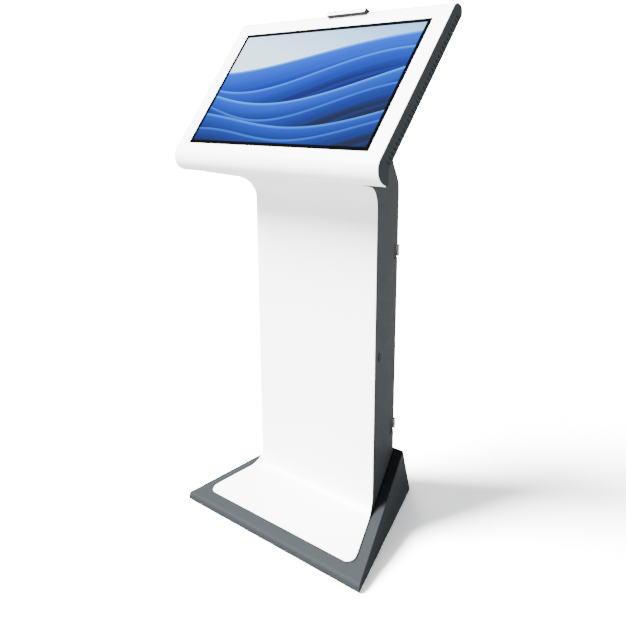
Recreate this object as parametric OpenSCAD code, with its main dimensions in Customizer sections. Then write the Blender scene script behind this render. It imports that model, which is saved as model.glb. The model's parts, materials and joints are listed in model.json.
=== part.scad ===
// Free-standing touchscreen kiosk: tilted display head on a tapered column with a wedge base.
// X runs to the right, Y to the rear and Z up; all sizes are in millimetres.
// The drawing frame has y = 0 on the front of the column and z = 0 on the floor.

/* [Display] */
// Width of the picture area of the 27 inch panel
active_w = 598; // [500:1:720]
// Height of the picture area
active_h = 336; // [280:1:410]
// Black border beside the picture
border_side = 10; // [6:0.5:20]
// Black border above and below the picture
border_top = 9.5; // [6:0.5:20]
// Thickness of the touch glass
glass_t = 3; // [2:0.5:4]
// Thickness of the display panel
lcd_t = 11; // [8:1:13]
// Lean of the screen back from upright, in degrees
screen_tilt = 38; // [32:1:44]
// Height of the middle of the screen above the floor
screen_z = 1190; // [1080:1:1400]
// Distance of the middle of the screen in front of the column
screen_forward = 43; // [25:1:60]

/* [Head] */
// White frame beside the glass
bezel_side = 43; // [30:1:60]
// White frame between the glass and the rounded top edge
bezel_top = 30; // [24:1:50]
// Flat white frame between the glass and the rolled lip
bezel_lip = 18; // [14:1:40]
// Thickness of the head
head_t = 37.5; // [35:0.5:44]
// Length of a vent slot
slot_l = 12; // [8:0.5:14]
// Width of a vent slot
slot_w = 4.2; // [3:0.1:5]
// Number of vent slots on each side
slot_n = 33; // [20:1:34]

/* [Column] */
// Width of the column front
col_w = 430; // [390:1:520]
// Depth of the column
col_d = 196; // [180:1:240]
// Taper of the side walls in plan, in degrees
side_taper = 24; // [20:1:26]
// Thickness of the sheet metal
sheet_t = 2; // [1.5:0.1:2.5]
// Radius of the bends in the front sheet
bend_r = 62; // [45:1:75]
// Rise of the soffit towards the lip, in degrees
soffit_rise = 11; // [6:1:14]
// Radius of the bend at the back of the neck
neck_r = 50; // [40:1:70]
// Lean of the neck's back from upright, in degrees
neck_lean = 46; // [40:1:50]
// Drop from the middle of the screen to the bend at the back of the neck
neck_drop = 267; // [250:1:290]

/* [Base] */
// Width of the base at its front edge
base_w = 672; // [620:1:800]
// Distance from the base's front edge to the column
base_front = 195; // [170:1:240]
// Height of the base's front edge above the floor
base_lip = 22.5; // [20:0.5:30]
// Slope of the ramp, in degrees
ramp_angle = 21.5; // [19:0.5:24]
// Distance from the column's back to the ridge of the base
ridge_gap = 10; // [6:1:20]
// Run of the base's back from the ridge to the floor
rear_run = 98; // [80:1:130]
// Gap between the base shell and the floor
floor_gap = 3; // [2:0.5:4]
// Dark margin in front of the white foot
foot_margin = 35; // [25:1:50]
// Corner radius of the white foot
foot_corner_r = 20; // [12:1:30]
// Thickness of the floor plate
plate_t = 6; // [5:1:8]
// Thickness of the ballast plate
ballast_t = 12; // [8:1:14]
// Radius of a floor anchor hole
anchor_r = 5.5; // [4.5:0.5:6.5]

/* [Door and fittings] */
// Height of the lower hinge
hinge_low_z = 262; // [240:1:300]
// Height of the upper hinge
hinge_high_z = 765; // [700:1:800]
// Radius of a hinge knuckle
knuckle_r = 4.4; // [4:0.1:5]
// Radius of a hinge pin
pin_r = 2; // [1.5:0.1:2.2]
// Height of a hinge notch
notch_h = 34; // [32:1:40]
// Height of the lock
lock_z = 545; // [400:1:650]
// Radius of the lock barrel
lock_r = 9; // [8:0.5:10]
// Radius of the lock plug
plug_r = 6; // [5:0.5:6.5]
// Height of the power button
button_z = 515; // [450:1:600]
// Radius of the power button's barrel
button_r = 9.5; // [8:0.5:10]
// Travel of the power button
button_travel = 3; // [2:0.5:4]
// Side of the square cooling fan
fan_side = 80; // [60:10:80]
// Length of the camera bar
cam_w = 124; // [100:1:140]
// Height of the camera bar
cam_h = 13; // [11:0.5:16]
// Depth of the camera bar
cam_d = 11; // [9:0.5:13]

/* [Clearances] */
// Gap between pieces that seat on each other
seat = 0.3; // [0.2:0.05:0.4]
// Gap all round the glass
glass_gap = 0.6; // [0.4:0.1:1]
// Radial running clearance of pins and shafts
run = 0.05; // [0.03:0.01:0.08]
// Gap between the door and the side walls
door_gap = 1.6; // [1.2:0.1:2]

/* [Hidden] */
$fn = 96;

e = 0.01;              // overlap that joins the pieces of one solid
far = 3000;            // larger than the kiosk
charcoal = [0.30, 0.32, 0.335];
white = [0.96, 0.96, 0.95];
steel = [0.72, 0.72, 0.72];
zinc = [0.62, 0.63, 0.62];
dark = [0.09, 0.09, 0.10];

glass_w = active_w + 2 * border_side;
glass_h = active_h + 2 * border_top;
head_w = glass_w + 2 * bezel_side;
taper = tan(side_taper);
wall_in = sheet_t / cos(side_taper);       // wall thickness measured along X
slope = tan(ramp_angle);
skin = sheet_t + seat;                     // from an outer face to what seats behind it
lip_s = -(glass_h / 2 + bezel_lip);        // start of the lip roll, up the screen plane
top_s = glass_h / 2 + bezel_top;           // start of the rounded top
top_r = head_t / 2;
head_end = top_s + top_r;
ridge_y = col_d + ridge_gap;
ridge_z = ramp_z(ridge_y);
base_rear = ridge_y + rear_run;
y_mid = (base_rear - base_front) / 2;      // middle of the base, which is the frame's origin
base_lean = atan(rear_run / (ridge_z - floor_gap));
plate_z = floor_gap + 2;
plate_top = plate_z + plate_t;
plate_back = (sheet_t + seat) / cos(base_lean) + (plate_top - floor_gap) * tan(base_lean);

// Height of the ramp at a distance behind the column's front
function ramp_z(y) = base_lip + slope * (y + base_front);
// Half width of the column and of the base at a distance behind the column's front
function col_half(y) = col_w / 2 - taper * y;
function base_half(y) = base_w / 2 - taper * (y + base_front);
// Point [y, z] at a depth behind the screen plane and a distance up it
function head_pt(d, s) = [-screen_forward + s * sin(screen_tilt) + d * cos(screen_tilt),
    screen_z + s * cos(screen_tilt) - d * sin(screen_tilt)];
function polar(c, r, a) = [c[0] + r * cos(a), c[1] + r * sin(a)];

lip_c = head_pt(head_t, lip_s);            // centre of the lip roll
foot_front = -base_front + foot_margin;    // front edge of the white foot
soffit_sweep = 90 - soffit_rise;
// Centres of the front sheet's two bends, of the neck's bend and where the soffit ends
foot_bend = [-bend_r, ramp_z(-bend_r) + (bend_r + skin) / cos(ramp_angle)];
soffit_end = [lip_c[0] + seat, lip_c[1] - head_t + 0.5];
soffit_run = -soffit_end[0] - bend_r * (1 - cos(soffit_sweep));
top_bend = [-bend_r, soffit_end[1] - soffit_run * tan(soffit_rise) - bend_r * sin(soffit_sweep)];
neck_bend = [col_d - neck_r, screen_z - neck_drop];
door_low = ridge_z + 3;
door_high = neck_bend[1] - 16;
door_y = col_d - 0.3;                      // outer face of the door
door_half = col_half(col_d) - wall_in - door_gap + 0.4;
flange_y = col_d - 16;                     // inner face of the door flanges
flange_half = col_half(col_d) - 16;

// Distance up the screen plane at which the neck's back meets the head's back
neck_q = polar(neck_bend, neck_r, neck_lean);
neck_v = [-sin(neck_lean), cos(neck_lean)];
head_q = head_pt(head_t, 0);
head_v = [sin(screen_tilt), cos(screen_tilt)];
meet_s = ((neck_q[0] - head_q[0]) * neck_v[1] - (neck_q[1] - head_q[1]) * neck_v[0])
    / (head_v[0] * neck_v[1] - head_v[1] * neck_v[0]);
neck_len = norm(head_pt(head_t, meet_s) - neck_q);

// ---- helpers ----
// Moves the drawing frame to the middle of the base
module placed() { translate([0, -y_mid, 0]) children(); }
// Extrudes a [y, z] outline along X, about the middle plane
module along_x(w) { rotate([90, 0, 90]) linear_extrude(w, center = true) children(); }
// The head's own frame: x, depth behind the screen plane, distance up it
module in_head() { translate([0, -screen_forward, screen_z]) rotate([-screen_tilt, 0, 0]) children(); }
// The right wall's own frame: x along the wall to the rear, y inwards
module on_wall() { translate([col_w / 2, 0, 0]) rotate([0, 0, 90 + side_taper]) children(); }
// The slanted back of the base: y outwards, z up the slope from the ridge
module on_base_rear() { translate([0, ridge_y, ridge_z]) rotate([base_lean, 0, 0]) children(); }
// The slanted back of the neck: y outwards, z up the slope from the bend
module on_neck() { translate([0, neck_q[0], neck_q[1]]) rotate([neck_lean, 0, 0]) children(); }
// A box given by its lowest and highest corners
module block(a, b) { translate(a) cube(b - a); }
// A hexagonal head or nut about Z, from z = 0
module hex(af, h) { cylinder(h = h, r = af / 2 / cos(30), $fn = 6); }
// A bent strip of sheet: the part of a ring between two angles
module ring_part(c, r_out, r_in, a0, a1) {
    reach = 2 * r_out;
    mid = (a0 + a1) / 2;
    intersection() {
        translate(c) difference() { circle(r_out); circle(r_in); }
        polygon([c, polar(c, reach, a0), polar(c, reach, mid), polar(c, reach, a1)]);
    }
}
// Plan of the column between two depths, drawn in by some distance at each side
module col_plan(y0, y1, inset) {
    polygon([[-col_half(y0) + inset, y0], [col_half(y0) - inset, y0],
        [col_half(y1) - inset, y1], [-col_half(y1) + inset, y1]]);
}
module base_plan(inset, front, rear) {
    y0 = -base_front + front;
    y1 = base_rear - rear;
    polygon([[-base_half(y0) + inset, y0], [base_half(y0) - inset, y0],
        [base_half(y1) - inset, y1], [-base_half(y1) + inset, y1]]);
}

// ---- base ----
module base_wedge(inset) {
    up = inset / cos(ramp_angle);
    back = inset / cos(base_lean);
    low = inset > 0 ? -1 : floor_gap;
    foot_run = (floor_gap - low) * tan(base_lean);
    y0 = -base_front + inset;
    // the ridge of the drawn-in wedge lies where the lowered ramp meets the moved back
    ry = (ridge_z - base_lip + up + slope * -base_front + (ridge_y - back) / tan(base_lean))
        / (slope + 1 / tan(base_lean));
    along_x(far) polygon([[y0, low], [y0, ramp_z(y0) - up], [ry, ramp_z(ry) - up],
        [base_rear - back + foot_run, low]]);
}
frame_x = col_half(col_d) + 38;            // inner face of each frame plate
frame_t = 4;
frame_y0 = 18;
frame_y1 = 88;
frame_flange = 30;
inlet_z = -118;                            // up the base's back, from the ridge
inlet_x = -18;
switch_x = 26;
module base_shell() color(charcoal) placed() difference() {
    intersection() {
        base_wedge(0);
        linear_extrude(far) base_plan(0, 0, 0);
    }
    intersection() {
        base_wedge(sheet_t);
        translate([0, 0, -far / 2]) linear_extrude(far) base_plan(wall_in, sheet_t, -far / 8);
    }
    for (m = [-1, 1])
        block([m * (frame_x + frame_t / 2) - frame_t / 2 - 1, frame_y0 - 1, floor_gap + 20],
            [m * (frame_x + frame_t / 2) + frame_t / 2 + 1, frame_y1 + 1, far / 2]);
    translate([lead_x, lead_y, floor_gap + 20]) cylinder(h = far / 2, r = 14);
    on_base_rear() block([inlet_x - 24.4, -far / 20, inlet_z - 13.9], [inlet_x + 24.4, far / 20, inlet_z + 13.9]);
    on_base_rear() block([switch_x - 9.4, -far / 20, inlet_z - 13.9], [switch_x + 9.4, far / 20, inlet_z + 13.9]);
}

foot_y = [-base_front + 28, base_rear - 42];
function foot_x(y) = base_half(y) - 34;
frame_bolt_y = [frame_y0 + 15, frame_y1 - 15];
bolt_r = 4;
ballast_half = base_w / 2 - 78;
ballast_y = [-base_front + 34, -38];
anchor_x = col_w / 2 - 95;
anchor_y = [-60, 150];
module plate_feet() {
    for (y = foot_y, m = [-1, 1]) translate([m * foot_x(y), y]) children();
}
module plate_ballast_points() {
    for (y = [ballast_y[0] + 20, ballast_y[1] - 20], m = [-1, 1])
        translate([m * (ballast_half - 25), y]) children();
}
module frame_bolt_points() {
    for (y = frame_bolt_y, m = [-1, 1]) translate([m * (frame_x - 14), y]) children();
}
module base_plate() color(steel) placed() translate([0, 0, plate_z]) difference() {
    linear_extrude(plate_t) base_plan(wall_in + seat, skin, plate_back);
    translate([0, 0, -1]) {
        plate_feet() cylinder(h = plate_t + 2, r = bolt_r + run);
        plate_ballast_points() cylinder(h = plate_t + 2, r = 3 + run);
        frame_bolt_points() cylinder(h = plate_t + 2, r = bolt_r + run);
        for (y = anchor_y, m = [-1, 1]) translate([m * anchor_x, y]) cylinder(h = plate_t + 2, r = anchor_r);
    }
}
module ballast_plate() color(zinc) placed() translate([0, 0, plate_top]) difference() {
    block([-ballast_half, ballast_y[0], 0], [ballast_half, ballast_y[1], ballast_t]);
    translate([0, 0, -1]) {
        plate_ballast_points() cylinder(h = ballast_t + 2, r = 3.3);
        for (m = [-1, 1]) translate([m * anchor_x, anchor_y[0]]) cylinder(h = ballast_t + 2, r = 2.2 * anchor_r);
    }
}
module ballast_screws() color(steel) placed() plate_ballast_points() {
    translate([0, 0, plate_z]) cylinder(h = plate_t + ballast_t + e, r = 3);
    translate([0, 0, plate_top + ballast_t]) hex(8, 4);
}
// Angle tabs that hold the shell to the floor plate
module shell_tab() {
    block([-10, 0, 0], [10, 14, 2]);
    block([-10, 0, 0], [10, 2, 9]);
}
tab_y = [-base_front + 75, base_rear - 110];
module shell_tabs() color(zinc) placed() translate([0, 0, plate_top]) {
    for (m = [-1, 1]) {
        for (y = tab_y) mirror([m < 0 ? 1 : 0, 0, 0])
            translate([base_half(y) - wall_in - seat / 2, y, 0]) rotate([0, 0, 90 + side_taper]) shell_tab();
        translate([m * base_w / 3.4, -base_front + sheet_t + seat / 2, 0]) shell_tab();
    }
}

// A levelling foot: pad, stem and a locking flat, with its pad on the floor
foot_pad_t = plate_z - 0.6;
module levelling_foot() {
    cylinder(h = foot_pad_t, r = 18);
    cylinder(h = plate_top + 12, r = bolt_r);
}
module foot_at(m, y) color(dark) placed() translate([m * foot_x(y), y, 0]) levelling_foot();
module foot_front_left() foot_at(-1, foot_y[0]);
module foot_front_right() foot_at(1, foot_y[0]);
module foot_rear_left() foot_at(-1, foot_y[1]);
module foot_rear_right() foot_at(1, foot_y[1]);
module foot_nuts() color(steel) placed() translate([0, 0, plate_top]) plate_feet() difference() {
    hex(13, 6.5);
    translate([0, 0, -1]) cylinder(h = 10, r = bolt_r + run);
}

// ---- inner frame ----
mount_t = 3;
mount_s = [meet_s - 130, meet_s - 30];     // stretch of the head's back that the mount covers
bar_z = [door_low + 112, (door_low + door_high) / 2 + 10, door_high - 20];
bar_h = 20;
bar_d = 24;
module frame_outline() {
    hi = head_pt(head_t + mount_t, mount_s[1]);
    lo = head_pt(head_t + mount_t, mount_s[0]);
    polygon([[frame_y0, plate_top], [frame_y1, plate_top], [frame_y1, neck_bend[1] + neck_r], hi, lo,
        [frame_y0, top_bend[1] + bend_r]]);
}
module frame_side() difference() {
    union() {
        translate([frame_x + frame_t / 2, 0, 0]) along_x(frame_t) frame_outline();
        block([frame_x - frame_flange + frame_t, frame_y0, plate_top], [frame_x + e, frame_y1, plate_top + frame_t]);
    }
    frame_bolt_points() translate([0, 0, plate_top - 1]) cylinder(h = frame_t + 2, r = bolt_r + 0.25);
}
module frame_right() color(zinc) placed() frame_side();
module frame_left() color(zinc) placed() mirror([1, 0, 0]) frame_side();
module frame_bolts() color(steel) placed() frame_bolt_points() {
    translate([0, 0, plate_z]) cylinder(h = plate_t + frame_t + e, r = bolt_r);
    translate([0, 0, plate_top + frame_t]) hex(13, 5.3);
}
// Cross channels that tie the side walls together behind the frame plates
module crossbars() color(zinc) placed() for (z = bar_z) translate([0, 0, z - bar_h / 2]) difference() {
    linear_extrude(bar_h) col_plan(frame_y1, frame_y1 + bar_d, wall_in + seat / 2);
    block([-far, frame_y1 + 2, 2], [far, frame_y1 + bar_d - 2, bar_h - 2]);
}
eq_y = frame_y1 + bar_d;                   // front of the equipment plate
eq_half = 105;
module equipment_plate() color(zinc) placed()
    block([-eq_half, eq_y, bar_z[0] - 12], [eq_half, eq_y + 2, bar_z[2] + bar_h / 2]);

// ---- column skin ----
// All that lies behind the front sheet's face, or behind a face some distance into it
module behind_face(t) {
    foot_t = polar(foot_bend, bend_r + t, ramp_angle - 90);
    soffit_t = polar(top_bend, bend_r + t, soffit_sweep);
    end_z = soffit_t[1] + (soffit_t[0] - soffit_end[0]) * tan(soffit_rise);
    difference() {
        polygon([[foot_front, foot_t[1] - (foot_t[0] - foot_front) * slope], foot_t, [t, foot_bend[1]],
            [t, top_bend[1]], soffit_t, [soffit_end[0], end_z], [soffit_end[0], far], [far, far], [far, -far],
            [foot_front, -far]]);
        translate(foot_bend) circle(bend_r + t);
        translate(top_bend) circle(bend_r + t);
    }
}
// Outline of the white front sheet, from the foot up to the soffit
module sheet_outline() difference() {
    behind_face(0);
    behind_face(sheet_t);
}
// Plan of the front sheet, with the two rounded corners of the foot
corner_c = [col_half(foot_front + foot_corner_r) - foot_corner_r / cos(side_taper), foot_front + foot_corner_r];
corner_pts = [for (k = [0 : 12]) polar(corner_c, foot_corner_r, -90 + k * (90 + side_taper) / 12)];
module sheet_plan() polygon(concat([for (p = corner_pts) p], [[col_half(skin), skin], [-col_half(skin), skin]],
    [for (k = [12 : -1 : 0]) [-corner_pts[k][0], corner_pts[k][1]]]));
module front_sheet() color(white) placed() intersection() {
    along_x(far) sheet_outline();
    linear_extrude(far) sheet_plan();
}

// Side outline of the body behind the front sheet, drawn in by some distance at its back
module body_outline(rear) {
    lift = seat / cos(ramp_angle);
    foot_t = polar(foot_bend, bend_r + skin, ramp_angle - 90);
    soffit_t = polar(top_bend, bend_r + skin, soffit_sweep);
    lip_in = head_pt(head_t + seat, lip_s + 6);
    top_in = head_pt(head_t + seat, meet_s - rear * 1.1);
    soffit_z = soffit_t[1] + (soffit_t[0] - lip_in[0]) * tan(soffit_rise);
    difference() {
        union() {
            polygon([foot_t + [0, lift], [col_d - rear, ramp_z(col_d - rear) + lift],
                [col_d - rear, neck_bend[1]], polar(neck_bend, neck_r - rear, neck_lean), top_in, lip_in,
                [lip_in[0], soffit_z], soffit_t, [skin, top_bend[1]], [skin, foot_bend[1]]]);
            translate(neck_bend) circle(neck_r - rear);
        }
        translate(foot_bend) circle(bend_r + skin);
        translate(top_bend) circle(bend_r + skin);
    }
}
// The right side wall with its door flange
module side_wall() intersection() {
    along_x(far) body_outline(0);
    linear_extrude(far) {
        difference() {
            col_plan(-base_front, col_d, 0);
            col_plan(-base_front - 1, col_d + 1, wall_in);
            translate([-far, -far / 2]) square(far);
        }
    }
}
module door_flange() difference() {
    translate([0, 0, door_low + 2]) linear_extrude(door_high - door_low - 4) difference() {
        col_plan(flange_y, flange_y + sheet_t, wall_in - e);
        translate([flange_half - far, -far / 2]) square(far);
    }
}
hinge_z = [hinge_low_z, hinge_high_z];
axis_u = col_d / cos(side_taper) + 2;      // hinge axis along the wall, on its outer face
axis_x = col_w / 2 - axis_u * sin(side_taper);
axis_y = axis_u * cos(side_taper);
notch_u = axis_u - 44;
button_u = 40.5;
module side_panel_right() color(charcoal) placed() difference() {
    union() { side_wall(); door_flange(); }
    for (z = hinge_z) on_wall()
        block([notch_u, -20, z - notch_h / 2], [axis_u + 20, 24, z + notch_h / 2]);
    on_wall() translate([button_u, -20, button_z]) rotate([-90, 0, 0]) cylinder(h = 40, r = button_r + run);
}
module side_panel_left() color(charcoal) placed() mirror([1, 0, 0]) union() { side_wall(); door_flange(); }

// Back of the neck, with slots in front of the fan
fan_u = neck_len * 0.42;                   // middle of the fan up the neck's back
module neck_cover() color(charcoal) placed() difference() {
    intersection() {
        along_x(far) {
            translate([col_d - sheet_t, door_high + 4]) square([sheet_t, neck_bend[1] - door_high - 4]);
            translate([col_d - 14, door_high + 4]) square([14, sheet_t]);
            ring_part(neck_bend, neck_r, neck_r - sheet_t, 0, neck_lean);
            translate(neck_q) rotate(neck_lean) translate([-sheet_t, 0])
                square([sheet_t, neck_len - 1.6 * sheet_t]);
        }
        linear_extrude(far) col_plan(-base_front, col_d + 1, wall_in + seat);
    }
    on_neck() for (i = [-3 : 3])
        block([-fan_side * 0.4, -20, fan_u + 10 * i - 2.5], [fan_side * 0.4, 20, fan_u + 10 * i + 2.5]);
    on_neck() fan_holes() cylinder(h = 20, r = 2 + run, center = true);
}
module fan_holes() {
    reach = fan_side / 2 - 4.3;
    for (x = [-reach, reach], z = [-reach, reach]) translate([x, 0, fan_u + z]) rotate([90, 0, 0]) children();
}

// ---- door ----
module rear_door() color(charcoal) placed() difference() {
    union() {
        block([-door_half, door_y - sheet_t, door_low], [door_half, door_y, door_high]);
        difference() {
            block([-door_half + 2, flange_y + 5, door_low + 3], [door_half - 2, door_y - e, door_high - 3]);
            block([-door_half + 3.5, flange_y, door_low + 4.5], [door_half - 3.5, door_y - sheet_t, door_high - 4.5]);
        }
    }
    for (z = hinge_z)
        block([axis_x - 15.2, flange_y - 1, z - notch_h / 2], [door_half + 1, col_d + 1, z + notch_h / 2]);
    translate([lock_x, col_d + 1, lock_z]) rotate([90, 0, 0]) cylinder(h = 20, r = lock_r + run);
    for (i = [0 : 9], z = [door_low + 60, door_high - 150])
        block([-60, flange_y, z + 9 * i], [60, col_d + 1, z + 9 * i + 4]);
}
module door_seal() color(dark) placed() difference() {
    seal_out = door_half - 0.6;
    block([-seal_out, flange_y + sheet_t, door_low + 5], [seal_out, flange_y + 4.7, door_high - 5]);
    block([-seal_out + 8, flange_y, door_low + 13], [seal_out - 8, col_d, door_high - 13]);
    for (z = hinge_z) block([0, flange_y - 1, z - notch_h / 2], [far / 4, col_d, z + notch_h / 2]);
}

// ---- hinges ----
half_knuckle = notch_h / 2 - 4;
module hinge_fixed_leaves() color(steel) placed() for (z = hinge_z) on_wall() translate([0, 0, z]) difference() {
    union() {
        translate([axis_u, 0, 0.2]) cylinder(h = half_knuckle, r = knuckle_r);
        block([notch_u - 20, skin, 0.2], [axis_u - 1, skin + 2, half_knuckle + 0.2]);
    }
    translate([axis_u, 0, -1]) cylinder(h = notch_h, r = pin_r + 0.02);
}
module hinge_door_leaves() color(steel) placed() for (z = hinge_z) translate([0, 0, z]) difference() {
    union() {
        translate([axis_x, axis_y, -0.2 - half_knuckle]) cylinder(h = half_knuckle, r = knuckle_r);
        block([axis_x - 14.7, door_y - sheet_t - 0.1, -0.2 - half_knuckle], [axis_x, axis_y - pin_r - 0.2, -0.2]);
        block([axis_x - 40, door_y - 2 * sheet_t, -0.2 - half_knuckle], [axis_x - 13, door_y - sheet_t, -0.2]);
    }
    translate([axis_x, axis_y, -notch_h]) cylinder(h = 2 * notch_h, r = pin_r + run);
}
module hinge_pins() color(zinc) placed() for (z = hinge_z) translate([axis_x, axis_y, z]) {
    cap = 2.6;
    top = half_knuckle + 0.4;
    translate([0, 0, -top - cap]) cylinder(h = 2 * (top + cap), r = pin_r);
    for (k = [top, -top - cap]) translate([0, 0, k]) cylinder(h = cap, r = knuckle_r);
}

// ---- lock ----
lock_x = -door_half + 32;
module on_lock() { translate([lock_x, 0, lock_z]) rotate([-90, 0, 0]) children(); }
module lock_housing() color(steel) placed() difference() {
    union() {
        on_lock() translate([0, 0, flange_y]) cylinder(h = door_y - flange_y + e, r = lock_r);
        on_lock() translate([0, 0, door_y]) cylinder(h = 2.5, r = lock_r + 2.5);
    }
    on_lock() translate([0, 0, flange_y - 1]) cylinder(h = 30, r = plug_r + run);
}
module lock_nut() color(zinc) placed() on_lock() translate([0, 0, door_y - sheet_t - 4]) difference() {
    hex(24, 4);
    translate([0, 0, -1]) cylinder(h = 6, r = lock_r + 0.02);
}
cam_t = 2.5;
module lock_plug() color(steel) placed() difference() {
    on_lock() translate([0, 0, flange_y - seat]) cylinder(h = door_y + 2.4 - flange_y + seat, r = plug_r);
    block([lock_x - 0.8, door_y, lock_z - 3.5], [lock_x + 0.8, door_y + 5, lock_z + 3.5]);
}
module lock_cam() color(zinc) placed() translate([0, flange_y - seat - cam_t, lock_z]) union() {
    translate([lock_x, cam_t, 0]) rotate([90, 0, 0]) cylinder(h = cam_t, r = plug_r + 1.5);
    block([lock_x - 6, 0, 0], [lock_x + 6, cam_t, 28]);
}

// ---- power button, in the right wall ----
module on_button() { on_wall() translate([button_u, 0, button_z]) rotate([-90, 0, 0]) children(); }
cap_r = button_r - 2.5;
module button_housing() color(dark) placed() on_button() difference() {
    union() {
        translate([0, 0, -1]) cylinder(h = 23, r = button_r);
        translate([0, 0, -2]) cylinder(h = 2, r = button_r + 2);
    }
    translate([0, 0, -3]) cylinder(h = 15, r = cap_r + run);
}
module button_nut() color(zinc) placed() on_button() translate([0, 0, sheet_t]) difference() {
    hex(2 * button_r + 5, 4);
    translate([0, 0, -1]) cylinder(h = 6, r = button_r + 0.02);
}
module button_cap() color(dark) placed() on_button() translate([0, 0, -1.6])
    cylinder(h = 13.2 - button_travel, r = cap_r);

// ---- fan, behind the neck's slots ----
fan_depth = 25;
module in_fan() { on_neck() translate([0, -sheet_t, fan_u]) rotate([90, 0, 0]) children(); }
module fan_frame() color(dark) placed() in_fan() {
    reach = fan_side / 2 - 4.3;
    difference() {
        translate([-fan_side / 2, -fan_side / 2, 0]) cube([fan_side, fan_side, fan_depth]);
        translate([0, 0, -1]) cylinder(h = fan_depth + 2, r = fan_side / 2 - 2);
        for (x = [-reach, reach], y = [-reach, reach]) translate([x, y, -1]) cylinder(h = fan_depth + 2, r = 2 + run);
    }
    difference() {
        union() {
            translate([0, 0, fan_depth - 3]) cylinder(h = 3, r = 18);
            for (a = [45 : 90 : 315]) rotate([0, 0, a]) block([16, -2, fan_depth - 3], [fan_side / 2 - 1.5, 2, fan_depth]);
        }
        translate([0, 0, 2]) cylinder(h = fan_depth, r = 3 + run);
    }
}
module fan_rotor() color(dark) placed() in_fan() {
    translate([0, 0, 2]) cylinder(h = fan_depth - 6, r = 17);
    translate([0, 0, fan_depth - 5]) cylinder(h = 4, r = 3);
    intersection() {
        for (a = [0 : 360 / 7 : 359]) rotate([0, 0, a]) translate([0, 0, fan_depth / 2 - 1.5]) rotate([38, 0, 0])
            block([14, -11, -0.9], [fan_side / 2, 11, 0.9]);
        translate([0, 0, 3]) cylinder(h = fan_depth - 8, r = fan_side / 2 - 4);
    }
}
module fan_screws() color(steel) placed() on_neck() fan_holes() {
    translate([0, 0, -0.5]) cylinder(h = sheet_t + 0.5 + 10, r = 2);
    translate([0, 0, -2]) cylinder(h = 2, r = 3.6);
}

// ---- electronics in the column ----
pc_z = [bar_z[1] + 40, bar_z[1] + 215];
psu_z = [bar_z[0] + 30, bar_z[0] + 170];
module mini_pc() color(dark) placed() difference() {
    block([-90, eq_y + 2, pc_z[0]], [90, eq_y + 40, pc_z[1]]);
    for (i = [0 : 8]) block([-70 + 16 * i, eq_y + 38, pc_z[0] + 30], [-62 + 16 * i, eq_y + 41, pc_z[1] - 30]);
}
module power_supply() color(zinc) placed() difference() {
    block([-55, eq_y + 2, psu_z[0]], [55, eq_y + 42, psu_z[1]]);
    for (i = [0 : 6]) block([-40, eq_y + 40.5, psu_z[0] + 20 + 16 * i], [40, eq_y + 43, psu_z[0] + 27 + 16 * i]);
}

// ---- mains inlet and switch, in the back of the base ----
module power_inlet() color(dark) placed() on_base_rear() translate([inlet_x, 0, inlet_z]) difference() {
    union() {
        block([-24, -26, -13.5], [24, e, 13.5]);
        block([-27, 0, -17], [27, 2.5, 17]);
    }
    block([-12, -18, -8.5], [12, 4, 8.5]);
}
module switch_housing() color(dark) placed() on_base_rear() translate([switch_x, 0, inlet_z]) difference() {
    union() {
        block([-9, -20, -13.5], [9, e, 13.5]);
        block([-11.5, 0, -16], [11.5, 2, 16]);
    }
    block([-6.5, -12, -11.5], [6.5, 4, 11.5]);
    translate([0, -2, 0]) rotate([0, 90, 0]) cylinder(h = 17, r = 1.5 + run, center = true);
}
// The rocker leans one way at rest, on its trunnions
rocker_swing = 12;
module switch_rocker() color(dark) placed() on_base_rear() translate([switch_x, -2, inlet_z]) {
    rotate([rocker_swing / 2, 0, 0]) block([-6, -2.4, -9.5], [6, 2.2, 9.5]);
    rotate([0, 90, 0]) cylinder(h = 16, r = 1.5, center = true);
}

// ---- leads held inside ----
// A tube of eight sides swept along a route of points
function unit(v) = v / norm(v);
function tangent(p, i) = unit(p[min(i + 1, len(p) - 1)] - p[max(i - 1, 0)]);
function ring(p, i, r) = let (t = tangent(p, i), a = unit(cross(t, [0.31, 0.17, 0.94])), b = cross(t, a))
    [for (k = [0 : 7]) p[i] + r * (cos(45 * k) * a + sin(45 * k) * b)];
module lead(p, r) {
    n = len(p);
    polyhedron([for (i = [0 : n - 1]) each ring(p, i, r)],
        concat([[for (k = [0 : 7]) k]],
            [for (i = [0 : n - 2], k = [0 : 7]) [8 * i + k, 8 * i + 8 + k, 8 * i + 8 + (k + 1) % 8, 8 * i + (k + 1) % 8]],
            [[for (k = [7 : -1 : 0]) 8 * (n - 1) + k]]));
}
// A smooth route through the corner points
function bez(a, b, c, t) = (1 - t) * (1 - t) * a + 2 * t * (1 - t) * b + t * t * c;
function route(p) = concat([p[0]],
    [for (i = [1 : len(p) - 2], t = [0 : 0.25 : 1]) bez((p[i - 1] + p[i]) / 2, p[i], (p[i] + p[i + 1]) / 2, t)],
    [p[len(p) - 1]]);
lead_x = 0;
lead_y = 60;
lead_in = 26.6;
inlet_in = [ridge_y - inlet_z * sin(base_lean) - lead_in * cos(base_lean),
    ridge_z + inlet_z * cos(base_lean) - lead_in * sin(base_lean)];
module mains_lead() color(dark) placed() lead(route([
    [inlet_x, inlet_in[0], inlet_in[1]], [inlet_x, inlet_in[0] - 50, inlet_in[1] - 22], [lead_x, lead_y + 20, 45],
    [lead_x, lead_y, 90], [lead_x, lead_y, bar_z[0] - 70], [lead_x, eq_y + 22, bar_z[0] - 50],
    [lead_x, eq_y + 22, psu_z[0]]]), 3.5);
board_s = meet_s + 60;
board_in = head_pt(31, board_s);
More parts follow.
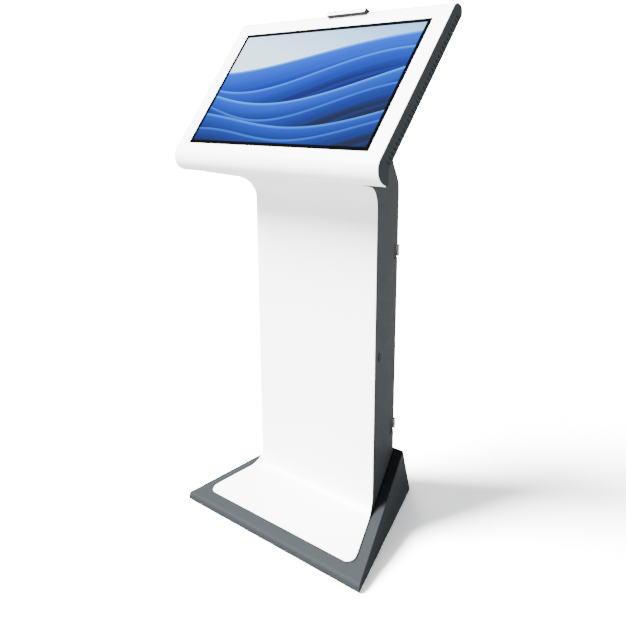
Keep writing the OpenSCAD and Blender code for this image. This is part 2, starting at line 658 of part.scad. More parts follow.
module display_lead() color(dark) placed() lead(route([
    [40, eq_y + 20, pc_z[1]], [40, eq_y + 20, neck_bend[1] + 12], [40, 60, neck_bend[1] + 77],
    [40, head_pt(80, meet_s - 80)[0], head_pt(80, meet_s - 80)[1]],
    [40, head_pt(28, meet_s - 80)[0], head_pt(28, meet_s - 80)[1]],
    [40, head_pt(28, board_s - 60)[0], head_pt(28, board_s - 60)[1]],
    [40, head_pt(28, board_s - 30)[0], head_pt(28, board_s - 30)[1]]]), 3);

// ---- head ----
stud_x = 120;
stud_s = glass_h / 2 + 12;
rail_d = [glass_t + 1.3 + lcd_t, head_t - sheet_t];
rail_w = 30;
// Outline [depth, up] of the head with everything drawn in by some distance
module head_outline(inset) {
    translate([inset, lip_s]) square([head_t - 2 * inset, top_s - lip_s]);
    translate([top_r, top_s]) circle(top_r - inset);
    ring_part([head_t, lip_s], head_t - inset, e, 180, 270 + screen_tilt);
}
module bezel_panel() color(white) placed() in_head() difference() {
    union() {
        along_x(head_w) {
            translate([0, lip_s]) square([sheet_t, top_s - lip_s]);
            ring_part([top_r, top_s], top_r, top_r - sheet_t, 90, 180);
            ring_part([head_t, lip_s], head_t, head_t - sheet_t, 180, 270 + screen_tilt);
        }
        for (x = [-stud_x, stud_x], s = [-stud_s, stud_s])
            translate([x, sheet_t - e, s]) rotate([-90, 0, 0]) cylinder(h = rail_d[0] - sheet_t - seat, r = 4);
    }
    block([-glass_w / 2 - glass_gap, -5, -glass_h / 2 - glass_gap],
        [glass_w / 2 + glass_gap, rail_d[0], glass_h / 2 + glass_gap]);
    translate([-active_w / 3, -1, top_s - 7]) rotate([-90, 0, 0]) cylinder(h = 5, r = 1.4);
    camera_screw_points() cylinder(h = 10, r = 1.5 + run);
}
module end_outline() difference() {
    union() {
        head_outline(skin);
        translate([head_t - skin - 1, lip_s]) square([skin + 1, top_s - lip_s]);
        intersection() {
            translate([top_r, top_s]) circle(top_r);
            translate([top_r + seat, top_s]) square([top_r, top_r]);
        }
    }
    pitch = (top_s - lip_s - 16) / (slot_n - 1);
    for (i = [0 : slot_n - 1]) translate([head_t - 5 - slot_l / 2, lip_s + 8 + pitch * i]) {
        translate([-slot_l / 2 + slot_w / 2, -slot_w / 2]) square([slot_l - slot_w, slot_w]);
        for (m = [-1, 1]) translate([m * (slot_l - slot_w) / 2, 0]) circle(slot_w / 2, $fn = 24);
    }
}
mouth_half = 95;                           // half width of the opening into the neck
module head_cover() color(charcoal) placed() in_head() difference() {
    union() {
        for (m = [-1, 1]) translate([m * (head_w / 2 - sheet_t / 2), 0, 0]) along_x(sheet_t) end_outline();
        along_x(head_w - e) {
            translate([head_t - sheet_t, lip_s]) square([sheet_t, top_s - lip_s + e]);
            intersection() {
                ring_part([top_r, top_s], top_r, top_r - sheet_t, 0, 90);
                translate([top_r + seat, top_s]) square([top_r, top_r]);
            }
            intersection() {
                head_outline(skin);
                translate([head_t, lip_s + 1]) rotate(270 + screen_tilt) translate([0, -sheet_t]) square([head_t, sheet_t]);
            }
        }
    }
    block([-mouth_half, 0, mount_s[0] + 15], [mouth_half, 2 * head_t, mount_s[1] - 15]);
    mount_bolts() cylinder(h = 3 * head_t, r = 3.3, center = true);
}
mount_bolt_s = [mount_s[0] + 20, mount_s[1] - 20];
module mount_bolts() {
    for (x = [-stud_x, stud_x], s = mount_bolt_s) translate([x, 0, s]) rotate([-90, 0, 0]) children();
}
module head_mount() color(zinc) placed() in_head() difference() {
    block([-frame_x - frame_t, head_t, mount_s[0]], [frame_x + frame_t, head_t + mount_t, mount_s[1]]);
    block([-mouth_half, 0, mount_s[0] + 15], [mouth_half, 2 * head_t, mount_s[1] - 15]);
    mount_bolts() cylinder(h = 3 * head_t, r = 3.3, center = true);
}
module head_bolts() color(steel) placed() in_head() mount_bolts() {
    translate([0, 0, head_t - sheet_t - 4]) cylinder(h = sheet_t + mount_t + 4 + e, r = 3);
    translate([0, 0, head_t + mount_t]) hex(10, 4);
}
module lcd_rails() color(zinc) placed() in_head() for (m = [-1, 1]) translate([m * stud_x, 0, 0]) difference() {
    block([-rail_w / 2, rail_d[0], -stud_s - 6], [rail_w / 2, rail_d[1], stud_s + 6]);
    block([-rail_w / 2 + 2, rail_d[0] + 2, -far], [rail_w / 2 - 2, rail_d[1] - 2, far]);
    for (s = mount_bolt_s) translate([0, rail_d[1] + 1, s]) rotate([90, 0, 0]) cylinder(h = 4, r = 3 + run);
}
module touch_glass() color(dark) placed() in_head()
    block([-glass_w / 2, seat, -glass_h / 2], [glass_w / 2, seat + glass_t, glass_h / 2]);
module glass_gasket() color(dark) placed() in_head() difference() {
    block([-glass_w / 2, seat + glass_t, -glass_h / 2], [glass_w / 2, glass_t + 1.3, glass_h / 2]);
    block([-active_w / 2, 0, -active_h / 2], [active_w / 2, head_t, active_h / 2]);
}
module lcd_panel() color([0.12, 0.32, 0.75]) placed() in_head()
    block([-glass_w / 2 - 4, glass_t + 1.3, -glass_h / 2 - 4], [glass_w / 2 + 4, glass_t + 1.3 + lcd_t, glass_h / 2 + 4]);
standoff_h = 4;
board_half = [70, 45];
module driver_board() color([0.05, 0.30, 0.16]) placed() in_head()
    translate([0, rail_d[0] + standoff_h, board_s]) {
        block([-board_half[0], 0, -board_half[1]], [board_half[0], 1.6, board_half[1]]);
        block([20, 1.5, -30], [52, 7, -8]);
        block([-50, 1.5, -20], [-22, 3.5, 8]);
    }
module board_standoffs() color(steel) placed() in_head()
    for (x = [-1, 1], s = [-1, 1]) translate([x * (board_half[0] - 6), rail_d[0], board_s + s * (board_half[1] - 6)])
        rotate([-90, 0, 0]) cylinder(h = standoff_h, r = 2.5);

// ---- camera bar on the rounded upper edge ----
cam_x = [-23, -23 + cam_w];                // its ends; the lens sits on the kiosk's middle
cam_out = -11;                             // how far it stands out of the screen plane
cam_s = top_s;
cam_lens = [3, cam_s + cam_h - 5];
cam_screw_x = [cam_x[0] + 14, cam_x[1] - 14];
module camera_screw_points() {
    for (x = cam_screw_x) translate([x, 0, top_s + 7]) rotate([-90, 0, 0]) children();
}
module cam_lens_bore() {
    translate([cam_lens[0], cam_out - 2, cam_lens[1]]) rotate([-90, 0, 0]) cylinder(h = 7, r = 2.5 + run);
}
module camera_body() color(charcoal) placed() in_head() difference() {
    block([cam_x[0], cam_out + 1.2, cam_s], [cam_x[1], cam_d - 1, cam_s + cam_h]);
    translate([0, top_r, top_s]) rotate([0, 90, 0]) cylinder(h = far, r = top_r + seat, center = true);
    cam_lens_bore();
    camera_screw_points() translate([0, 0, -6]) cylinder(h = 20, r = 1.5 + run);
}
module camera_fascia() color(white) placed() in_head() difference() {
    block([cam_x[0], cam_out, cam_s], [cam_x[1], cam_out + 1.2, cam_s + cam_h]);
    cam_lens_bore();
}
module camera_lens() color(dark) placed() in_head()
    translate([cam_lens[0], cam_out + 0.2, cam_lens[1]]) rotate([-90, 0, 0]) cylinder(h = 4.6, r = 2.5);
// Screws that come through the bezel from inside
module camera_screws() color(steel) placed() in_head() camera_screw_points() {
    translate([0, 0, -5.5]) cylinder(h = 12, r = 1.5);
    translate([0, 0, 5.5]) cylinder(h = 1.8, r = 3);
}

base_shell();
base_plate();
ballast_plate();
ballast_screws();
shell_tabs();
foot_front_left();
foot_front_right();
foot_rear_left();
foot_rear_right();
foot_nuts();
frame_left();
frame_right();
frame_bolts();
crossbars();
equipment_plate();
front_sheet();
side_panel_left();
side_panel_right();
neck_cover();
rear_door();
door_seal();
hinge_fixed_leaves();
hinge_door_leaves();
hinge_pins();
lock_housing();
lock_nut();
lock_plug();
lock_cam();
button_housing();
button_nut();
button_cap();
fan_frame();
fan_rotor();
fan_screws();
mini_pc();
power_supply();
power_inlet();
switch_housing();
switch_rocker();
mains_lead();
display_lead();
bezel_panel();
head_cover();
touch_glass();
glass_gasket();
lcd_panel();
lcd_rails();
driver_board();
board_standoffs();
head_mount();
head_bolts();
camera_body();
camera_fascia();
camera_lens();
camera_screws();
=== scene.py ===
"""Looks of a free-standing touchscreen kiosk: powder-coated sheet metal, a lit display and small fittings.

Lengths in the functions are in millimetres, with y = 0 on the column's front and z = 0 on the floor.
"""
import json
import math

import bmesh
import bpy
import numpy as np
from mathutils import Matrix


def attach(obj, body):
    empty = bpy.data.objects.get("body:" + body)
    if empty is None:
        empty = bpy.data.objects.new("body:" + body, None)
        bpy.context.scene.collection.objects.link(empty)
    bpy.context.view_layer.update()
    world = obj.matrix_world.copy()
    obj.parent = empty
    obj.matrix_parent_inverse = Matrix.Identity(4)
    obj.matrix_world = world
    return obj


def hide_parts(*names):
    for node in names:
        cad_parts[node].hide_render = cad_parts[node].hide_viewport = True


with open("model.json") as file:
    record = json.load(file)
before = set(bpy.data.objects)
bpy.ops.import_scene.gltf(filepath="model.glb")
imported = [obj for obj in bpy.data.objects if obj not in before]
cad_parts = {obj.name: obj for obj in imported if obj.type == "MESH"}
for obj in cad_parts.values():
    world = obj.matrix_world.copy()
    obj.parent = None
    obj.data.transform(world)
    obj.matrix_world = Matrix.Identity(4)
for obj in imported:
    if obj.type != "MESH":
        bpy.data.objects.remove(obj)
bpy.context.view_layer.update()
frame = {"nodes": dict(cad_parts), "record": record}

# ---------------------------------------------------------------- the kiosk's own sizes
MIDDLE_Y = 54.5                      # the frame's origin lies this far behind the column's front
TILT = math.radians(38)
SCREEN_Y, SCREEN_Z = -43, 1190       # the middle of the picture
SHEET = 2.0
SEAT = 0.3                           # room between two sheets that lie on each other
SKIN = SHEET + SEAT
WALL_ANGLE = math.radians(24)
TAPER = math.tan(WALL_ANGLE)
WALL_IN = SHEET / math.cos(WALL_ANGLE)
COLUMN_HALF, COLUMN_DEEP = 215.0, 196.0
BASE_HALF, BASE_FRONT, BASE_REAR, BASE_LIP = 336.0, -195.0, 304.0, 22.5
BASE_LOW = 3                         # the shell's lower edge, above the floor
RAMP_DEG, SOFFIT_DEG, NECK_DEG = 21.5, 11, 46
RAMP, SOFFIT, NECK_LEAN = math.radians(RAMP_DEG), math.radians(SOFFIT_DEG), math.radians(NECK_DEG)
RIDGE_Y = 206.0
FOOT_FRONT, FOOT_CORNER = BASE_FRONT + 35, 20.0
BEND = 62.0
HEAD_T, HEAD_HALF = 37.5, 352.0
GLASS_W, GLASS_H, PICTURE_W, PICTURE_H = 618.0, 355.0, 598.0, 336.0
LIP_S, TOP_S, TOP_R = -195.5, 207.5, 18.75
LIP_END, LIP_STEPS, LIP_CORNER = 308, 40, 14.0   # the roll's last angle, its steps, the round of its lower corners
VENTS, VENT_MARGIN = 33, 8
NECK_R = 50.0
INLET_DOWN, INLET_HALF = 118, 13.9   # the inlet's window: its middle below the ridge, and half its height
NOTCH = 17                           # half height of the opening round a hinge


def ramp_z(y):
    """Height of the ramp: the lip's height plus the slope times the distance from the base's front."""
    return BASE_LIP + math.tan(RAMP) * (y - BASE_FRONT)


def column_half(y):
    """Half width of the column: its front's, less the taper times the distance behind it."""
    return COLUMN_HALF - TAPER * y


def base_half(y):
    """Half width of the base: its front's, less the taper times the distance behind it."""
    return BASE_HALF - TAPER * (y - BASE_FRONT)


def head_yz(d, s):
    """[y, z] of a point d behind the screen plane and s up it from the picture's middle."""
    d, s = np.asarray(d, float), np.asarray(s, float)
    return np.stack([SCREEN_Y + s * math.sin(TILT) + d * math.cos(TILT),
                     SCREEN_Z + s * math.cos(TILT) - d * math.sin(TILT)], -1)


def arc(c, r, a0, a1, n):
    """n + 1 points on a circle: its centre plus r times (cos, sin) of angles evenly spaced from a0 to a1."""
    a = np.radians(np.linspace(a0, a1, n + 1))
    return np.stack([c[0] + r * np.cos(a), c[1] + r * np.sin(a)], -1)


LIP_C = head_yz(HEAD_T, LIP_S)
RIDGE_Z = ramp_z(RIDGE_Y)
BASE_LEAN = math.atan((BASE_REAR - RIDGE_Y) / (RIDGE_Z - BASE_LOW))
FOOT_C = np.array([-BEND, ramp_z(-BEND) + (BEND + SKIN) / math.cos(RAMP)])
SOFFIT_END = np.array([LIP_C[0] + SEAT, LIP_C[1] - HEAD_T + 0.5])
SWEEP = 90 - SOFFIT_DEG
SOFFIT_RUN = -SOFFIT_END[0] - BEND * (1 - math.cos(math.radians(SWEEP)))
TOP_C = np.array([-BEND, SOFFIT_END[1] - SOFFIT_RUN * math.tan(SOFFIT)
                  - BEND * math.sin(math.radians(SWEEP))])
NECK_C = np.array([COLUMN_DEEP - NECK_R, SCREEN_Z - 267.0])
DOOR_LOW, DOOR_HIGH, DOOR_Y = RIDGE_Z + 3, NECK_C[1] - 16, COLUMN_DEEP - 0.3
DOOR_HALF = column_half(COLUMN_DEEP) - WALL_IN - 1.2
FLANGE_Y = COLUMN_DEEP - 16
NECK_Q = NECK_C + NECK_R * np.array([math.cos(NECK_LEAN), math.sin(NECK_LEAN)])
NECK_V = np.array([-math.sin(NECK_LEAN), math.cos(NECK_LEAN)])
HEAD_Q, HEAD_V = head_yz(HEAD_T, 0), np.array([math.sin(TILT), math.cos(TILT)])
MEET_S = (((NECK_Q[0] - HEAD_Q[0]) * NECK_V[1] - (NECK_Q[1] - HEAD_Q[1]) * NECK_V[0])
          / (HEAD_V[0] * NECK_V[1] - HEAD_V[1] * NECK_V[0]))
NECK_LEN = float(np.linalg.norm(head_yz(HEAD_T, MEET_S) - NECK_Q))
HINGE_Z = (262.0, 765.0)
ROLL_R = 14.0                        # round of the base's front edge
HINGE_U = COLUMN_DEEP / math.cos(WALL_ANGLE) + 2
HINGE_X, HINGE_Y = COLUMN_HALF - HINGE_U * math.sin(WALL_ANGLE), HINGE_U * math.cos(WALL_ANGLE)
BUTTON_U, BUTTON_Z = 40.5, 515.0
LOCK_X, LOCK_Z = -DOOR_HALF + 32, 545.0
# directions: along the right wall and into it, and behind and up the screen
ALONG_WALL = np.array([-math.sin(WALL_ANGLE), math.cos(WALL_ANGLE), 0])
INTO_WALL = np.array([-math.cos(WALL_ANGLE), -math.sin(WALL_ANGLE), 0])
HEAD_DEPTH = np.array([0, math.cos(TILT), -math.sin(TILT)])
HEAD_UP = np.array([0, math.sin(TILT), math.cos(TILT)])
HEAD_MIDDLE = np.array([0, *head_yz(0, 0)])


# ---------------------------------------------------------------- materials
def tree(name):
    """A new material with its principled shader and an Object coordinate to hang patterns on."""
    m = bpy.data.materials.new(name)
    m.use_nodes = True
    nt = m.node_tree
    nt.nodes.clear()
    out = nt.nodes.new("ShaderNodeOutputMaterial")
    surf = nt.nodes.new("ShaderNodeBsdfPrincipled")
    nt.links.new(surf.outputs[0], out.inputs[0])
    place = nt.nodes.new("ShaderNodeTexCoord")
    return m, nt, surf, place.outputs["Object"]


def noise(nt, where, scale, detail=3.0, rough=0.5):
    """Fractal noise from 0 to 1 over the piece's own place."""
    n = nt.nodes.new("ShaderNodeTexNoise")
    n.inputs["Scale"].default_value = scale
    n.inputs["Detail"].default_value = detail
    n.inputs["Roughness"].default_value = rough
    nt.links.new(where, n.inputs["Vector"])
    return n.outputs["Fac"]


def remap(nt, value, lo, hi, to_lo, to_hi):
    """A value's range lo to hi carried evenly onto to_lo to to_hi, and held there beyond it."""
    r = nt.nodes.new("ShaderNodeMapRange")
    nt.links.new(value, r.inputs[0])
    for i, v in enumerate((lo, hi, to_lo, to_hi)):
        r.inputs[i + 1].default_value = v
    return r.outputs[0]


def maths(nt, op, *values):
    """One sum of numbers and sockets."""
    n = nt.nodes.new("ShaderNodeMath")
    n.operation = op
    for i, v in enumerate(values):
        if isinstance(v, (int, float)):
            n.inputs[i].default_value = v
        else:
            nt.links.new(v, n.inputs[i])
    return n.outputs[0]


def mixed(nt, share, a, b):
    """Colour a, going over to colour b as share goes from 0 to 1."""
    n = nt.nodes.new("ShaderNodeMix")
    n.data_type = "RGBA"
    nt.links.new(share, n.inputs[0])
    for socket, c in ((n.inputs[6], a), (n.inputs[7], b)):
        if isinstance(c, tuple):
            socket.default_value = (*c, 1)
        else:
            nt.links.new(c, socket)
    return n.outputs[2]


def bumped(nt, surf, height, strength, distance):
    """Hangs a height on the shader's normal, its distance in metres."""
    b = nt.nodes.new("ShaderNodeBump")
    b.inputs["Strength"].default_value = strength
    b.inputs["Distance"].default_value = distance
    nt.links.new(height, b.inputs["Height"])
    nt.links.new(b.outputs[0], surf.inputs["Normal"])


def smooth_coat(name, pale, deep):
    """Satin powder coat: a fine orange peel about 2 mm wide, with a faint drift of tone over the sheet."""
    m, nt, surf, where = tree(name)
    nt.links.new(mixed(nt, remap(nt, noise(nt, where, 2.5, 2), 0.35, 0.65, 0, 1), pale, deep),
                 surf.inputs["Base Color"])
    nt.links.new(remap(nt, noise(nt, where, 9, 4), 0.3, 0.7, 0.30, 0.40), surf.inputs["Roughness"])
    surf.inputs["Coat Weight"].default_value = 0.15
    surf.inputs["Coat Roughness"].default_value = 0.25
    fine = maths(nt, "MULTIPLY", noise(nt, where, 1500, 1), 0.25)
    peel = maths(nt, "ADD", noise(nt, where, 420, 2), fine)
    bumped(nt, surf, peel, 0.10, 0.0004)
    return m


def textured_coat(name, pale, deep):
    """Fine textured powder coat: small hard grains under a millimetre wide, matt, with a painted highlight that makes
    their tips lighter.
    """
    m, nt, surf, where = tree(name)
    grain = noise(nt, where, 1300, 2, 0.6)
    tone = mixed(nt, remap(nt, noise(nt, where, 3, 3), 0.3, 0.7, 0, 1), pale, deep)
    # the colour goes lighter where the grain is high: a painted highlight on the grains' tips
    nt.links.new(mixed(nt, remap(nt, grain, 0.56, 0.76, 0, 0.5), tone, tuple(1.35 * c for c in pale)),
                 surf.inputs["Base Color"])
    nt.links.new(remap(nt, grain, 0.3, 0.7, 0.66, 0.50), surf.inputs["Roughness"])
    surf.inputs["Specular IOR Level"].default_value = 0.03
    bumped(nt, surf, grain, 0.35, 0.0004)
    return m


def plated(name, colour, rough, stretch, lines=0.12):
    """Bare or plated metal: long rolling lines along one axis, and cloudy patches in the gloss."""
    m, nt, surf, where = tree(name)
    grow = nt.nodes.new("ShaderNodeMapping")
    grow.inputs["Scale"].default_value = stretch
    nt.links.new(where, grow.inputs["Vector"])
    streak = noise(nt, grow.outputs[0], 60, 4)
    cloud = noise(nt, where, 22, 4)
    nt.links.new(mixed(nt, remap(nt, cloud, 0.3, 0.7, 0, 1), colour, tuple(0.82 * c for c in colour)),
                 surf.inputs["Base Color"])
    surf.inputs["Metallic"].default_value = 1.0
    nt.links.new(remap(nt, maths(nt, "ADD", streak, cloud), 0.7, 1.3, rough, rough + 0.14),
                 surf.inputs["Roughness"])
    bumped(nt, surf, streak, lines, 0.0003)
    return m


def moulded(name, colour, rough, grain_scale=700, depth=0.2, shine=0.5):
    """Moulded plastic or rubber: a fine spark-eroded grain and a little dust-like change of gloss."""
    m, nt, surf, where = tree(name)
    grain = noise(nt, where, grain_scale, 3)
    nt.links.new(mixed(nt, remap(nt, noise(nt, where, 14, 3), 0.3, 0.7, 0, 1), colour,
                       tuple(1.35 * c for c in colour)), surf.inputs["Base Color"])
    nt.links.new(remap(nt, grain, 0.3, 0.7, rough - 0.06, rough + 0.08), surf.inputs["Roughness"])
    surf.inputs["Specular IOR Level"].default_value = shine
    bumped(nt, surf, grain, depth, 0.0003)
    return m


def board_green(name):
    """Solder mask: fine tracks as thin square-edged bands crossing in two directions."""
    m, nt, surf, where = tree(name)
    part = nt.nodes.new("ShaderNodeSeparateXYZ")
    nt.links.new(where, part.inputs[0])
    tracks = maths(nt, "MAXIMUM", maths(nt, "SINE", maths(nt, "MULTIPLY", part.outputs[0], 2200)),
                   maths(nt, "SINE", maths(nt, "MULTIPLY", part.outputs[2], 1700)))
    lit = remap(nt, maths(nt, "MULTIPLY", tracks, noise(nt, where, 40, 2)), 0.4, 0.5, 0, 1)
    nt.links.new(mixed(nt, lit, (0.012, 0.10, 0.035), (0.03, 0.20, 0.07)), surf.inputs["Base Color"])
    surf.inputs["Roughness"].default_value = 0.35
    return m


def wave_picture(name):
    """The lit picture: broad soft waves on a pale sky, all from the sheet's own u and v.

    Each wave fills the picture below the line a + b sin(c u + d) + 0.12 u u. It starts at the crest with a thin
    bright rim and fades to its deep colour. Its fine folds are the sine of 70 times the depth under the crest
    plus 9 u. Outside the picture area the glass is printed black.
    """
    m, nt, surf, _ = tree(name)
    uv = nt.nodes.new("ShaderNodeUVMap")
    uv.uv_map = "glass"
    part = nt.nodes.new("ShaderNodeSeparateXYZ")
    nt.links.new(uv.outputs[0], part.inputs[0])
    u, v = part.outputs[0], part.outputs[1]
    slant = maths(nt, "ADD", maths(nt, "MULTIPLY", u, 0.5), maths(nt, "MULTIPLY", v, 0.8))
    picture = mixed(nt, remap(nt, slant, 0.75, 1.25, 0, 1), SKY_LOW, SKY_HIGH)
    bow = maths(nt, "MULTIPLY", maths(nt, "MULTIPLY", u, u), 0.12)
    for a, b, c, d, fade, rim, crest, deep in WAVES:
        swell = maths(nt, "SINE", maths(nt, "MULTIPLY_ADD", u, c, d))
        line = maths(nt, "ADD", maths(nt, "MULTIPLY_ADD", swell, b, a), bow)
        under = maths(nt, "SUBTRACT", line, v)
        body = mixed(nt, remap(nt, under, 0.02, fade, 0, 1), crest, deep)
        folds = maths(nt, "SINE", maths(nt, "MULTIPLY_ADD", under, 70.0, maths(nt, "MULTIPLY", u, 9.0)))
        sheen = maths(nt, "MULTIPLY", remap(nt, folds, 0.2, 1.0, 0, 0.25), remap(nt, u, 0.1, 0.8, 0.2, 1))
        body = mixed(nt, sheen, body, crest)
        body = mixed(nt, remap(nt, under, 0.004, 0.024, 0, 1), rim, body)
        picture = mixed(nt, remap(nt, under, 0.0, 0.004, 0, 1), picture, body)
    du = maths(nt, "ABSOLUTE", maths(nt, "SUBTRACT", u, 0.5))
    dv = maths(nt, "ABSOLUTE", maths(nt, "SUBTRACT", v, 0.5))
    edge_u, edge_v = 0.5 * PICTURE_W / GLASS_W, 0.5 * PICTURE_H / GLASS_H
    off = maths(nt, "MAXIMUM", remap(nt, du, edge_u - 0.0006, edge_u + 0.0006, 0, 1),
                remap(nt, dv, edge_v - 0.001, edge_v + 0.001, 0, 1))
    lit = mixed(nt, off, picture, (0.0, 0.0, 0.0))
    nt.links.new(mixed(nt, off, (0.003, 0.004, 0.008), (0.001, 0.001, 0.0012)), surf.inputs["Base Color"])
    nt.links.new(lit, surf.inputs["Emission Color"])
    surf.inputs["Emission Strength"].default_value = 0.8
    surf.inputs["Roughness"].default_value = 0.08
    surf.inputs["Specular IOR Level"].default_value = 0.0
    return m


# the picture's sky, near its lower left and its upper right
SKY_LOW, SKY_HIGH = (2.2, 3.1, 3.7), (0.7, 1.5, 2.6)
# height, swell, length, shift, depth of the fade, rim, crest and deep colour
WAVES = (
    (0.72, 0.080, 3.4, -1.4, 0.22, (0.10, 1.00, 2.9), (0.0, 0.20, 1.7), (0.0, 0.020, 0.62)),
    (0.57, 0.115, 4.3, -2.3, 0.17, (0.04, 0.60, 2.3), (0.0, 0.11, 1.2), (0.0, 0.004, 0.22)),
    (0.45, 0.110, 3.7, -3.0, 0.17, (0.08, 0.80, 2.6), (0.0, 0.15, 1.4), (0.0, 0.003, 0.12)),
    (0.30, 0.100, 5.0, -3.5, 0.15, (0.02, 0.34, 1.7), (0.0, 0.05, 0.7), (0.0, 0.001, 0.02)),
    (0.20, 0.080, 4.1, -4.2, 0.14, (0.05, 0.55, 2.1), (0.0, 0.10, 1.0), (0.0, 0.004, 0.14)),
    (0.08, 0.060, 5.6, -4.9, 0.12, (0.02, 0.30, 1.5), (0.0, 0.05, 0.6), (0.0, 0.001, 0.03)),
)

WHITE = smooth_coat("white_powder_coat", (0.90, 0.905, 0.90), (0.88, 0.885, 0.885))
CHARCOAL = textured_coat("charcoal_powder_coat", (0.0156, 0.0180, 0.0196), (0.0144, 0.0166, 0.0182))
ZINC = plated("zinc_plate", (0.56, 0.57, 0.56), 0.34, (1, 1, 0.08))
STEEL = plated("machined_steel", (0.60, 0.60, 0.60), 0.26, (1, 1, 0.3))
CHROME = plated("satin_chrome", (0.26, 0.255, 0.25), 0.38, (1, 1, 1), 0.03)
BLACK = moulded("black_plastic", (0.016, 0.016, 0.017), 0.46)
MATT = moulded("matt_black_plastic", (0.012, 0.012, 0.013), 0.80, shine=0.1)
GLOSS = moulded("gloss_black_plastic", (0.008, 0.008, 0.009), 0.14, 300, 0.04)
PALE = moulded("white_plastic", (0.62, 0.62, 0.61), 0.30, 500, 0.06)
# near-black material for the sheets behind the vent slots: painted shade of the head's inside
MESH = moulded("vent_shade_backing", (0.014, 0.015, 0.016), 0.8)
RUBBER = moulded("rubber", (0.020, 0.020, 0.020), 0.72, 420, 0.4)
BOARD = board_green("solder_mask")
PICTURE = wave_picture("display_picture")
FINISHES = {
    "white_coat": WHITE, "charcoal_coat": CHARCOAL, "zinc_plate": ZINC, "steel": STEEL, "chrome": CHROME,
    "black_plastic": BLACK, "gloss_black": GLOSS, "white_plastic": PALE, "rubber": RUBBER, "board": BOARD,
    "screen": GLOSS, "glass": GLOSS,
}
for part in frame["record"]["subparts"]:
    node = frame["nodes"][part["node"]]
    node.data.materials.clear()
    node.data.materials.append(FINISHES[part["material_slot"]])


# ---------------------------------------------------------------- making pieces
def piece(name, verts, faces, body, nodes, finish, thick=0.0, edge=0.5, steps=2, angle=30):
    """Puts computed vertices (mm) and faces into a mesh, gives it its wall and its rounded edges, and rides it."""
    verts = np.asarray(verts, float).copy()
    verts[:, 1] -= MIDDLE_Y
    mesh = bpy.data.meshes.new(name)
    mesh.from_pydata((verts / 1000).tolist(), [], [list(map(int, f)) for f in faces])
    mesh.validate()
    mesh.materials.append(finish)
    mesh.shade_smooth()
    o = bpy.data.objects.new(name, mesh)
    bpy.context.scene.collection.objects.link(o)
    if thick:
        wall = o.modifiers.new("wall", "SOLIDIFY")
        wall.thickness = thick / 1000
        wall.offset = -1
        wall.use_even_offset = True
    if edge:
        round_ = o.modifiers.new("edge", "BEVEL")
        round_.width = edge / 1000
        round_.segments = steps
        round_.limit_method = "ANGLE"
        round_.angle_limit = math.radians(angle)
        round_.harden_normals = True
        round_.miter_outer = "MITER_ARC"
    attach(o, body)
    if nodes:
        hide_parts(*nodes)
    return o


def tidy(verts, faces):
    """Merges doubles and turns the faces outwards, for shapes put together from several strips."""
    bm = bmesh.new()
    vs = [bm.verts.new(v) for v in np.asarray(verts, float)]
    for f in faces:
        try:
            bm.faces.new([vs[int(i)] for i in f])
        except ValueError:
            pass
    bmesh.ops.remove_doubles(bm, verts=bm.verts, dist=0.01)
    bmesh.ops.recalc_face_normals(bm, faces=bm.faces)
    bm.verts.index_update()
    out = np.array([v.co[:] for v in bm.verts]), [[v.index for v in f.verts] for f in bm.faces]
    bm.free()
    return out


def bent_sheet(rows, half, cols=(), gaps=()):
    """A sheet bent along X: row i holds the profile's point [y, z], and its corners lie at plus and minus half[i].

    Between them stand columns at the given x. Each gap is a window between two rows and two columns.
    """
    rows, half = np.asarray(rows, float), np.asarray(half, float)
    x = np.concatenate([-half[:, None], np.tile(np.array(cols, float), (len(rows), 1)), half[:, None]], 1)
    n, m = x.shape
    verts = np.stack([x, np.repeat(rows[:, :1], m, 1), np.repeat(rows[:, 1:], m, 1)], -1).reshape(-1, 3)
    i, j = np.meshgrid(np.arange(n - 1), np.arange(m - 1), indexing="ij")
    keep = np.ones(i.shape, bool)
    for r0, r1, c0, c1 in gaps:
        keep[r0:r1, c0:c1] = False
    i, j = i[keep], j[keep]
    faces = np.stack([i * m + j, i * m + j + 1, (i + 1) * m + j + 1, (i + 1) * m + j], -1)
    return verts, faces


def flat_sheet(loops, origin, u, v):
    """A flat sheet inside its first loop and outside the others: point = origin + loop x times u + loop y times v."""
    bm = bmesh.new()
    o, u, v = (np.array(k, float) for k in (origin, u, v))
    for loop in loops:
        p = np.asarray(loop, float)
        ring = [bm.verts.new(q) for q in o + p[:, :1] * u + p[:, 1:] * v]
        for k in range(len(ring)):
            bm.edges.new((ring[k], ring[(k + 1) % len(ring)]))
    bmesh.ops.triangle_fill(bm, edges=bm.edges[:], use_beauty=True)
    n = np.cross(u, v)
    for f in bm.faces:
        f.normal_update()
        if np.dot(np.array(f.normal), n) < 0:
            f.normal_flip()
    inner = [e for e in bm.edges if len(e.link_faces) == 2]
    bmesh.ops.dissolve_limit(bm, angle_limit=0.001, verts=[], edges=inner)
    bm.verts.index_update()
    out = np.array([w.co[:] for w in bm.verts]), [[w.index for w in f.verts] for f in bm.faces]
    bm.free()
    return out


def turned(profile, base, axis, n=48):
    """A turned part: each profile point (r, h) goes round the axis at distance r and height h along it."""
    profile = np.asarray(profile, float)
    w = np.array(axis, float) / np.linalg.norm(axis)
    a = np.cross(w, [0, 0, 1.0] if abs(w[2]) < 0.9 else [1.0, 0, 0])
    a /= np.linalg.norm(a)
    b = np.cross(w, a)
    t = np.linspace(0, 2 * math.pi, n, endpoint=False)
    r, h = profile[:, :1, None], profile[:, 1:, None]
    ring = np.cos(t)[None, :, None] * a + np.sin(t)[None, :, None] * b
    verts = (np.array(base, float) + r * ring + h * w).reshape(-1, 3)
    m = len(profile)
    i, j = np.meshgrid(np.arange(m - 1), np.arange(n), indexing="ij")
    k = (j + 1) % n
    faces = np.stack([i * n + j, i * n + k, (i + 1) * n + k, (i + 1) * n + j], -1).reshape(-1, 4)
    return tidy(verts, faces)


